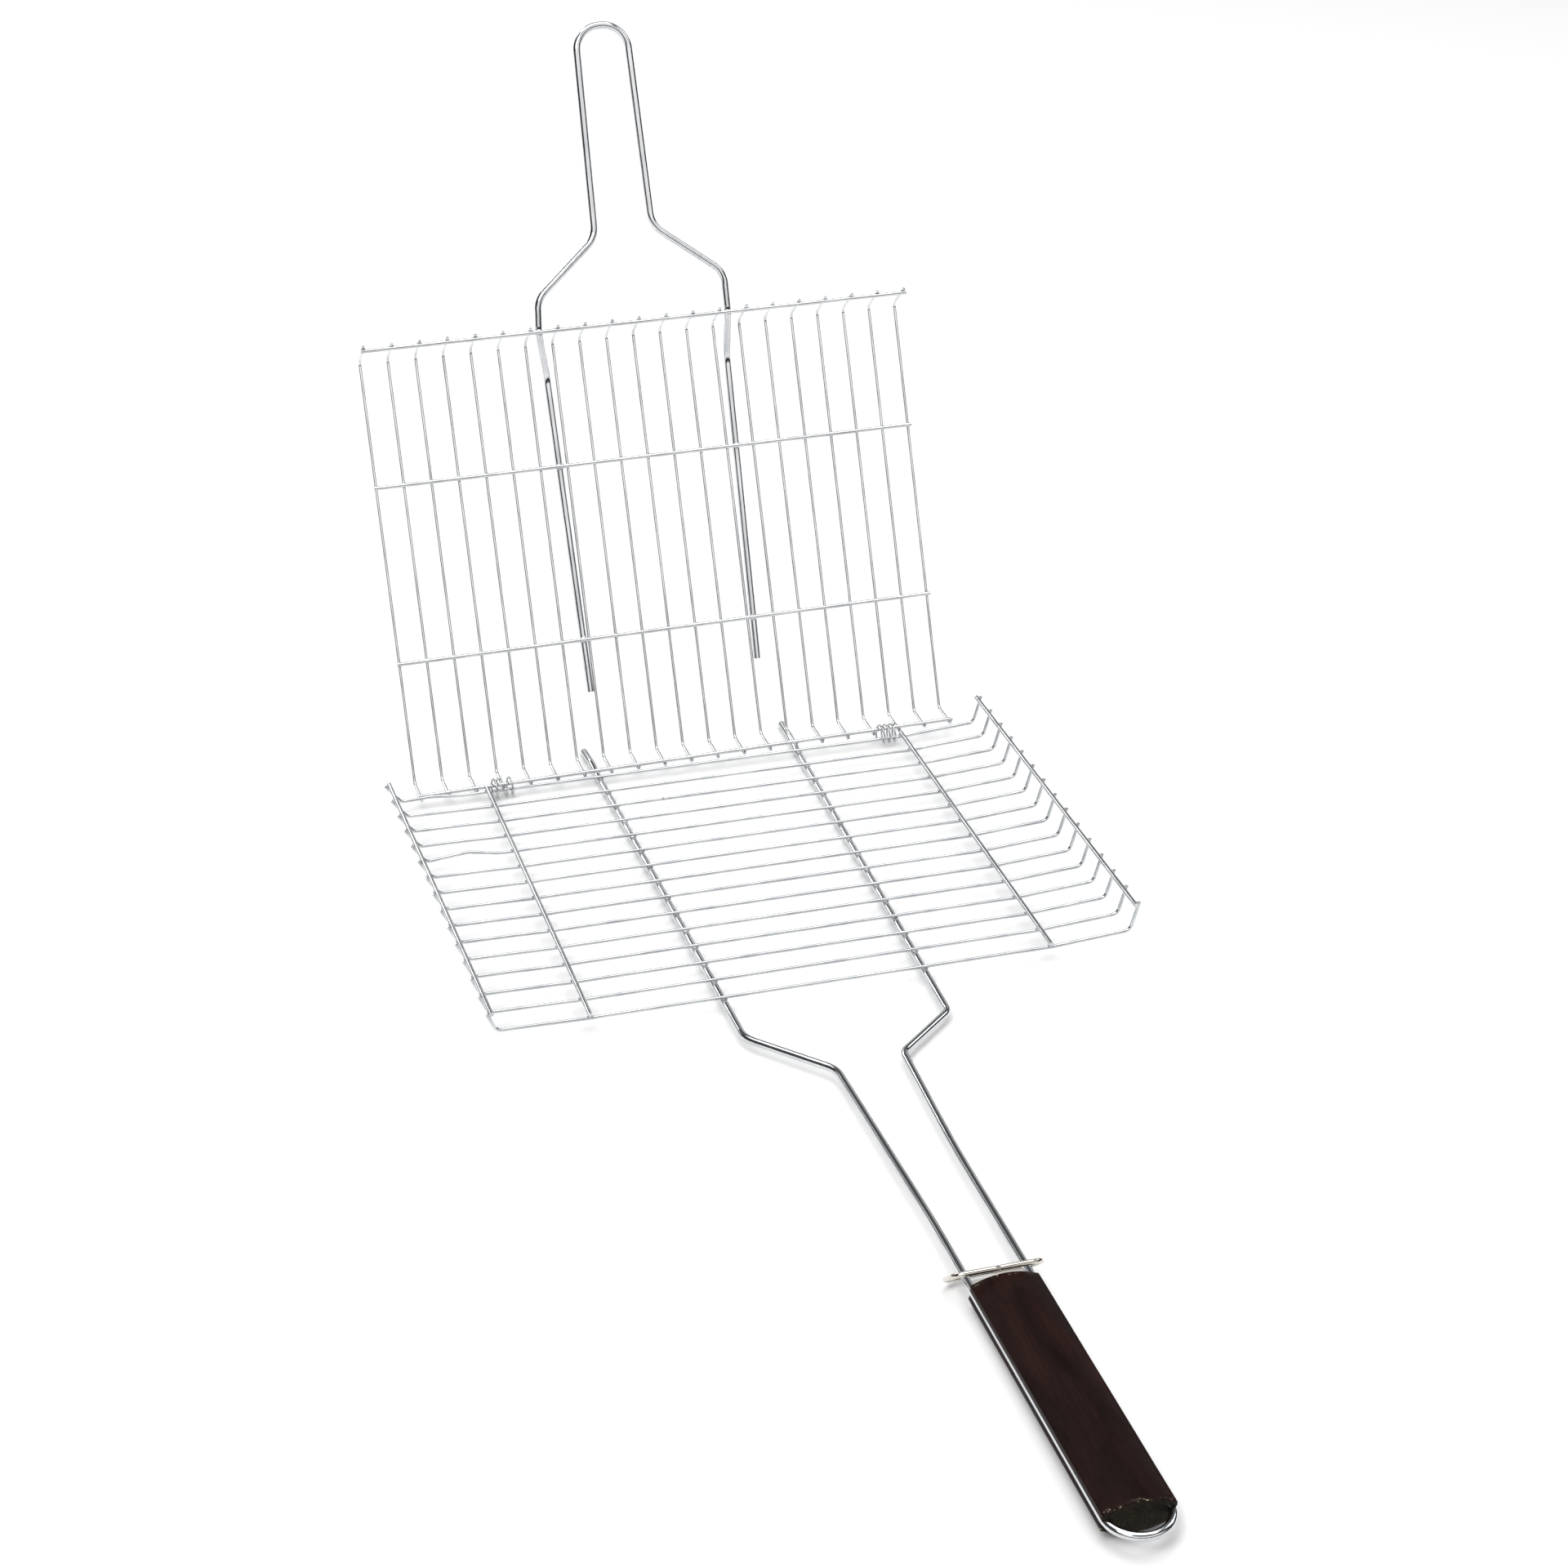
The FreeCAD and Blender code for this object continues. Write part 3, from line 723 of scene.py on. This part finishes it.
@dataclass
class Grip:
    """The wooden bar: domed above and below, grooved at both sides for the handle wires."""

    centre_x: float = 4.285 * MM
    drift: float = math.atan(0.004)
    centre_z: float = 2.0 * MM
    front_y: float = (HINGE_WIRE_Y - 491.3) * MM
    length: float = 152.7 * MM
    half_width: float = 16.2 * MM
    low_half_width: float = 16.8 * MM
    half_height: float = 7.9 * MM
    side_top: float = 4.6 * MM
    side_bottom: float = -4.0 * MM
    groove_x: float = 14.5 * MM
    groove_r: float = 2.03 * MM
    edge_r: float = 1.3 * MM
    end_r: float = 0.6 * MM
    rows: int = 46
    dome_steps: int = 30
    corner_steps: int = 6
    groove_steps: int = 16
    weld_gap: float = 0.02 * MM
    worn_inset: float = 1.3
    groove_margin: float = 0.1 * MM
    nick_chance: float = 0.07
    nick: Pair = (0.1, 0.35)
    ripple: float = 0.10 * MM
    ripple_along: float = 21 * MM
    ripple_across: float = 9 * MM
    soft_angle: float = 50.0
    seed: int = 41

    def arc(self, bm: bmesh.types.BMesh, start: Vector, centre: Vector, angle: float, steps: int) -> list:
        """Sweep one vertex into an arc in the section's plane.

        Args:
            bm: The section so far.
            start: The arc's first point.
            centre: Its centre.
            angle: Its angle about Y.
            steps: How many edges it has.

        Returns:
            The arc's vertices.
        """
        before = set(bm.verts)
        first = bmesh.ops.create_vert(bm, co=start)["vert"][0]
        bmesh.ops.spin(bm, geom=[first], cent=centre, axis=(0.0, 1.0, 0.0), angle=angle, steps=steps,
                       use_merge=False)
        return [vert for vert in bm.verts if vert not in before]

    def dome(self, bm: bmesh.types.BMesh, width: float, side_z: float, crown_z: float) -> None:
        """Draw the top or bottom arc of the section, inside the rounded corners.

        Args:
            bm: The section so far.
            width: Half the grip's width on this face.
            side_z: Height of the arc's ends.
            crown_z: Height of its middle.
        """
        half = width - self.edge_r
        sag = abs(crown_z) - abs(side_z)
        radius = (half * half + sag * sag) / (2 * sag)
        sign = 1.0 if crown_z > 0 else -1.0
        angle = 2 * math.asin(half / radius)
        start = Vector((-half, 0.0, side_z))
        self.arc(bm, start, Vector((0.0, 0.0, crown_z - sign * radius)), sign * angle,
                 self.dome_steps)

    def section(self, bm: bmesh.types.BMesh) -> list:
        """Draw the closed outline of the section at the origin."""
        edge = self.edge_r
        self.dome(bm, self.half_width, self.side_top, self.half_height)
        self.dome(bm, self.low_half_width, self.side_bottom, -self.half_height)
        reach = self.half_width - self.groove_x
        open_angle = math.acos(reach / self.groove_r)
        for side in (-1.0, 1.0):
            top = Vector((side * (self.half_width - edge), 0.0, self.side_top))
            self.arc(bm, top, top - Vector((0.0, 0.0, edge)), side * math.pi / 2, self.corner_steps)
            low = Vector((side * (self.low_half_width - edge), 0.0, self.side_bottom))
            self.arc(bm, low, low + Vector((0.0, 0.0, edge)), -side * math.pi / 2, self.corner_steps)
            lip = Vector((side * self.half_width, 0.0, self.groove_r * math.sin(open_angle)))
            centre = Vector((side * self.groove_x, 0.0, 0.0))
            self.arc(bm, lip, centre, -side * (2 * math.pi - 2 * open_angle), self.groove_steps)
        bmesh.ops.remove_doubles(bm, verts=bm.verts, dist=self.weld_gap)
        self.close(bm)
        return list(bm.verts)

    def close(self, bm: bmesh.types.BMesh) -> None:
        """Join the lips of the grooves to the rounded corners."""
        loose = [vert for vert in bm.verts if len(vert.link_edges) == 1]
        for side in (-1.0, 1.0):
            for half in (-1.0, 1.0):
                pair = [vert for vert in loose if vert.co.x * side > 0 and vert.co.z * half > 0]
                if len(pair) == 2:
                    bmesh.ops.contextual_create(bm, geom=pair)

    def ends(self) -> Pair:
        """Where the two sawn ends are along Y."""
        return self.front_y, self.front_y - self.length

    def in_groove(self, x: float, z: float) -> bool:
        """Whether a point of the section, measured from its middle, is in a groove."""
        deep = abs(x) > self.groove_x - self.groove_r - self.groove_margin
        return deep and abs(z) < self.groove_r + self.groove_margin

    def wear(self, bm: bmesh.types.BMesh, dice: random.Random) -> None:
        """Mark the end edges for chips, nick them, and leave the faces slightly uneven.

        Args:
            bm: The straight bar.
            dice: Where the nicks come from.
        """
        layer = bm.verts.layers.float.new("edge_wear")
        for vert in bm.verts:
            x = vert.co.x - self.centre_x
            z = vert.co.z - self.centre_z
            if self.in_groove(x, z):
                continue
            inset = min(abs(vert.co.y - end) for end in self.ends())
            if inset < self.worn_inset * self.end_r:
                vert[layer] = 1.0
                if dice.random() < self.nick_chance:
                    vert.co.z -= math.copysign(dice.uniform(*self.nick) * MM, z)
            else:
                wave = math.sin(vert.co.y / self.ripple_along + x / self.ripple_across)
                vert.co.z += math.copysign(self.ripple * wave, z)

    def bar(self, bm: bmesh.types.BMesh) -> None:
        """Draw the section out into the bar, with rounded end edges.

        Args:
            bm: The section, at the grip's front end.
        """
        cap = bmesh.ops.contextual_create(bm, geom=bm.edges[:])["faces"]
        for row in range(self.rows):
            grown = bmesh.ops.extrude_face_region(bm, geom=cap, use_keep_orig=(row == 0))["geom"]
            moved = [item for item in grown if isinstance(item, bmesh.types.BMVert)]
            cap = [item for item in grown if isinstance(item, bmesh.types.BMFace)]
            bmesh.ops.translate(bm, verts=moved, vec=(0.0, -self.length / self.rows, 0.0))
        bmesh.ops.recalc_face_normals(bm, faces=bm.faces)
        rims = [edge for edge in bm.edges
                if any(all(abs(vert.co.y - y) < 1e-6 for vert in edge.verts) for y in self.ends())]
        bmesh.ops.bevel(bm, geom=rims, offset=self.end_r, offset_type="OFFSET", segments=3, profile=0.5,
                        affect="EDGES", material=-1, clamp_overlap=True)

    def build(self, wood: bpy.types.Material, end: bpy.types.Material) -> None:
        """Make the grip.

        Args:
            wood: Finish of its faces.
            end: Finish of its sawn ends.
        """
        bm = bmesh.new()
        outline = self.section(bm)
        pivot = Vector((self.centre_x, self.front_y, self.centre_z))
        bmesh.ops.translate(bm, verts=outline, vec=pivot)
        self.bar(bm)
        for face in bm.faces:
            middle = face.calc_center_median().y
            if abs(face.normal.y) > 0.99 and any(abs(middle - y) < 1e-5 for y in self.ends()):
                face.material_index = 1
        self.wear(bm, random.Random(self.seed))
        turn = Matrix.Rotation(self.drift, 3, "Z")
        bmesh.ops.rotate(bm, cent=pivot, matrix=turn, verts=bm.verts)
        finished(bm, "grip_wood", "tray", [wood, end], ("grip",), self.soft_angle)


@dataclass
class LockRing:
    """The flattened wire ring, butted at the middle of its top run."""

    centre: Vector = field(default_factory=lambda: Vector((2.4, HINGE_WIRE_Y - 481.9, 4.4)) * MM)
    half_length: float = 21.0 * MM
    half_height: float = 10.0 * MM
    corner_r: float = 5.5 * MM
    wire_r: float = 1.3 * MM
    lean: float = math.radians(47.0)
    gap: float = 0.22 * MM
    burr: float = 0.22 * MM
    sides: int = 24
    run_parts: int = 6
    bend_steps: int = 10
    soft_angle: float = 60.0

    def run(self, bm: bmesh.types.BMesh, ring: list, step: Vector) -> list:
        """Draw the wire out along a straight run.

        Args:
            bm: The ring so far.
            ring: The edges of its open end.
            step: The run.

        Returns:
            The edges of the new end.
        """
        for _ in range(self.run_parts):
            grown = bmesh.ops.extrude_edge_only(bm, edges=ring)["geom"]
            ring = [item for item in grown if isinstance(item, bmesh.types.BMEdge)]
            verts = [item for item in grown if isinstance(item, bmesh.types.BMVert)]
            bmesh.ops.translate(bm, verts=verts, vec=step / self.run_parts)
        return ring

    def bend(self, bm: bmesh.types.BMesh, ring: list, centre: Vector) -> list:
        """Draw the wire round a corner.

        Args:
            bm: The ring so far.
            ring: The edges of its open end.
            centre: The middle of the corner's arc.

        Returns:
            The edges of the new end.
        """
        verts = list({vert for edge in ring for vert in edge.verts})
        grown = bmesh.ops.spin(bm, geom=ring + verts, cent=centre, axis=(0.0, 1.0, 0.0),
                               angle=math.pi / 2, steps=self.bend_steps, use_merge=False)["geom_last"]
        return [item for item in grown if isinstance(item, bmesh.types.BMEdge)]

    def build(self, finish: bpy.types.Material) -> None:
        """Make the ring, drawn from one butted end round to the other.

        Args:
            finish: The wire's finish.
        """
        bm = bmesh.new()
        bmesh.ops.create_circle(bm, cap_ends=True, segments=self.sides, radius=self.wire_r)
        sideways = Matrix.Rotation(math.pi / 2, 4, "Y")
        start = Matrix.Translation((self.gap / 2, 0.0, self.half_height)) @ sideways
        bmesh.ops.transform(bm, matrix=start, verts=bm.verts)
        ring = list(bm.edges)
        flat = self.half_length - self.corner_r
        tall = self.half_height - self.corner_r
        half_top = Vector((flat - self.gap / 2, 0, 0))
        legs = (half_top, Vector((0, 0, -2 * tall)), Vector((-2 * flat, 0, 0)), Vector((0, 0, 2 * tall)))
        corners = ((flat, tall), (flat, -tall), (-flat, -tall), (-flat, tall))
        for leg, (x, z) in zip(legs, corners):
            ring = self.run(bm, ring, leg)
            ring = self.bend(bm, ring, Vector((x, 0, z)))
        ring = self.run(bm, ring, half_top)
        bmesh.ops.contextual_create(bm, geom=ring)
        bmesh.ops.recalc_face_normals(bm, faces=bm.faces)
        ends = [edge for edge in bm.edges if any(len(face.verts) > 4 for face in edge.link_faces)]
        bmesh.ops.bevel(bm, geom=ends, offset=self.burr, segments=2, profile=0.5, affect="EDGES",
                        material=-1, offset_type="OFFSET", clamp_overlap=True)
        place = Matrix.Translation(self.centre) @ Matrix.Rotation(self.lean, 4, "X")
        bmesh.ops.transform(bm, matrix=place, verts=bm.verts)
        finished(bm, "ring_wire", "ring", [finish], ("lock_ring",), self.soft_angle)


# ---------------------------------------------------------------- studio and camera
@dataclass(frozen=True)
class Lamp:
    """One soft rectangular light."""

    name: str
    place: Size
    aim: Size
    size: Pair
    power: float

    def build(self) -> None:
        """Hang the light."""
        lamp = bpy.data.lights.new(self.name, "AREA")
        lamp.shape = "RECTANGLE"
        lamp.size, lamp.size_y = self.size
        lamp.energy = self.power
        holder = bpy.data.objects.new(self.name, lamp)
        holder.location = self.place
        away = Vector(self.place) - Vector(self.aim)
        holder.rotation_euler = away.to_track_quat("Z", "Y").to_euler()
        bpy.context.scene.collection.objects.link(holder)


@dataclass
class Studio:
    """Pale floor, soft lights and a plain sky."""

    floor_size: float = 24.0
    touch: tuple[Pair, Pair] = ((-371.0, -5.9), (155.0, -0.3))
    side_sky: tuple[Pair, ...] = ((0.0, 0.02), (0.20, 0.03), (0.50, 0.06), (0.80, 0.12), (1.0, 0.20))
    front_sky: tuple[Pair, ...] = ((0.0, 0.03), (0.20, 0.05), (0.31, 1.15), (0.60, 1.20), (0.76, 0.15))
    rear_sky: tuple[Pair, ...] = ((0.0, 0.02), (0.16, 0.03), (0.26, 0.75), (0.42, 0.70), (0.56, 0.10))
    frontward: Pair = (-0.36, -0.60)
    rearward: Pair = (0.45, 0.75)
    lamps: tuple[Lamp, ...] = (
        Lamp("soft_key", (-1.6, -1.4, 2.6), (0.0, 0.0, 0.0), (1.6, 1.2), 38.0),
        Lamp("soft_fill", (2.2, 0.3, 2.0), (0.0, 0.0, 0.0), (1.4, 1.4), 12.0),
        Lamp("overhead", (0.0, 0.4, 3.2), (0.0, 0.4, 0.0), (3.2, 3.2), 88.0),
        Lamp("back_strip", (-0.9, 2.6, 1.35), (0.0, 0.1, 0.1), (1.2, 0.35), 9.0),
    )

    def floor(self, finish: StudioFloor) -> None:
        """Lay the floor under the grip and the tips of the handle legs.

        Args:
            finish: The floor's finish.
        """
        (y0, z0), (y1, z1) = self.touch
        tilt = math.atan2(z1 - z0, y1 - y0)
        bm = bmesh.new()
        bmesh.ops.create_grid(bm, x_segments=1, y_segments=1, size=self.floor_size / 2)
        matrix = Matrix.Translation((0.0, y0 * MM, z0 * MM)) @ Matrix.Rotation(tilt, 4, "X")
        bmesh.ops.transform(bm, matrix=matrix, verts=bm.verts)
        mesh = bpy.data.meshes.new("studio_floor")
        bm.to_mesh(mesh)
        bm.free()
        mesh.materials.append(finish.material())
        floor = bpy.data.objects.new("studio_floor", mesh)
        bpy.context.scene.collection.objects.link(floor)

    def ramp(self, tree: bpy.types.NodeTree, height: bpy.types.NodeSocket,
             stops: tuple[Pair, ...]) -> bpy.types.NodeSocket:
        """A grey ramp over the sine of the elevation.

        Args:
            tree: The sky's node tree.
            height: The sine of the elevation.
            stops: Pairs of that sine and a grey level.

        Returns:
            The colour socket.
        """
        ramp = tree.nodes.new("ShaderNodeValToRGB")
        tree.links.new(height, ramp.inputs["Fac"])
        elements = ramp.color_ramp.elements
        while len(elements) < len(stops):
            elements.new(0.5)
        for element, (place, level) in zip(elements, stops):
            element.position = place
            element.color = (level, level, level, 1.0)
        return ramp.outputs["Color"]

    def world(self) -> None:
        """A bright sky, dark low down behind the basket, for the wires to mirror."""
        world = bpy.data.worlds.new("studio sky")
        bpy.context.scene.world = world
        world.use_nodes = True
        tree = world.node_tree
        tree.nodes.clear()
        coords = tree.nodes.new("ShaderNodeTexCoord")
        split = tree.nodes.new("ShaderNodeSeparateXYZ")
        background = tree.nodes.new("ShaderNodeBackground")
        output = tree.nodes.new("ShaderNodeOutputWorld")
        tree.links.new(coords.outputs["Generated"], split.inputs[0])
        colour = self.ramp(tree, split.outputs["Z"], self.side_sky)
        for limits, stops in ((self.frontward, self.front_sky), (self.rearward, self.rear_sky)):
            share = tree.nodes.new("ShaderNodeMapRange")
            blend = tree.nodes.new("ShaderNodeMix")
            blend.data_type = "RGBA"
            set_span(share, limits, (0.0, 1.0))
            tree.links.new(split.outputs["Y"], share.inputs["Value"])
            tree.links.new(share.outputs["Result"], blend.inputs["Factor"])
            tree.links.new(colour, blend.inputs[6])
            tree.links.new(self.ramp(tree, split.outputs["Z"], stops), blend.inputs[7])
            colour = blend.outputs[2]
        tree.links.new(colour, background.inputs["Color"])
        tree.links.new(background.outputs["Background"], output.inputs["Surface"])

    def build(self) -> None:
        """Build the whole studio."""
        self.floor(StudioFloor())
        self.world()
        for lamp in self.lamps:
            lamp.build()
        bpy.context.scene.view_settings.view_transform = "Standard"


@dataclass
class Viewpoint:
    """The camera, in front and to the left, looking down and tilted a little."""

    place: Size = (-0.42246, -1.39806, 0.86976)
    turn: Size = (1.06044, -0.00982, -0.29001)
    lens: float = 72.517
    sensor: float = 36.0
    shift: Pair = (0.0148, 0.0038)
    reach: Pair = (0.01, 60.0)

    def build(self) -> None:
        """Make the scene's camera."""
        data = bpy.data.cameras.new("camera")
        data.lens = self.lens
        data.sensor_width = self.sensor
        data.shift_x, data.shift_y = self.shift
        data.clip_start, data.clip_end = self.reach
        camera = bpy.data.objects.new("camera", data)
        camera.matrix_world = Matrix.Translation(self.place) @ Euler(self.turn, "XYZ").to_matrix().to_4x4()
        bpy.context.scene.collection.objects.link(camera)
        bpy.context.scene.camera = camera


def wire_finishes() -> dict[str, bpy.types.Material]:
    """Make the plated finishes.

    Returns:
        The materials, by the wires that wear them.
    """
    along = Stretch.SECOND_AXIS
    finishes = {
        "long_wires": PlatedWire("plated wire, drawn across", Run.ACROSS),
        "side_bars": PlatedWire("plated wire, drawn lengthwise", Run.ACROSS, stretch=along),
        "lid_wires": PlatedWire("plated wire, drawn up the lid", Run.LID, (0.82, 0.83, 0.84, 1.0),
                                (0.50, 0.515, 0.53, 1.0), along, shine=(0.05, 0.16)),
        "lid_bars": PlatedWire("plated wire, drawn across the lid", Run.LID_ACROSS,
                               (0.76, 0.77, 0.785, 1.0), (0.44, 0.455, 0.47, 1.0)),
        "handle": PlatedWire("plated handle wire", Run.ACROSS, BRIGHT, BRIGHT_DULL, along, 40.0,
                             (0.04, 0.15)),
        "lid_handle": PlatedWire("plated lid handle wire", Run.LID, BRIGHT, BRIGHT_DULL, along, 40.0,
                                 (0.04, 0.15)),
        "ring": PlatedWire("nickel ring wire", Run.ACROSS, (0.72, 0.685, 0.62, 1.0),
                           (0.50, 0.465, 0.41, 1.0), Stretch.FIRST_AXIS, 120.0, (0.08, 0.20)),
        "coils": PlatedWire("plated spring wire", Run.ACROSS, (0.58, 0.59, 0.60, 1.0),
                            (0.33, 0.34, 0.35, 1.0), along, 200.0, (0.12, 0.30)),
    }
    return {wires: finish.material() for wires, finish in finishes.items()}


def main() -> None:
    """Build every sub-assembly."""
    logging.basicConfig(level=logging.INFO, format="%(name)s: %(message)s")
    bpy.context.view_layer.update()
    wires = wire_finishes()
    weld = WeldMetal().material()

    tray = Tray()
    tray.build(wires["side_bars"], wires["long_wires"], weld)
    Lid().build(wires["lid_wires"], wires["lid_bars"], wires["lid_handle"], weld)
    Handle().build(tray, wires["handle"], weld)
    Grip().build(StainedWood().material(), EndGrain().material())
    LockRing().build(wires["ring"])
    dress(["hinge_coil_left", "hinge_coil_right"], wires["coils"])
    Studio().build()
    Viewpoint().build()


if __name__ == "__main__":
    main()
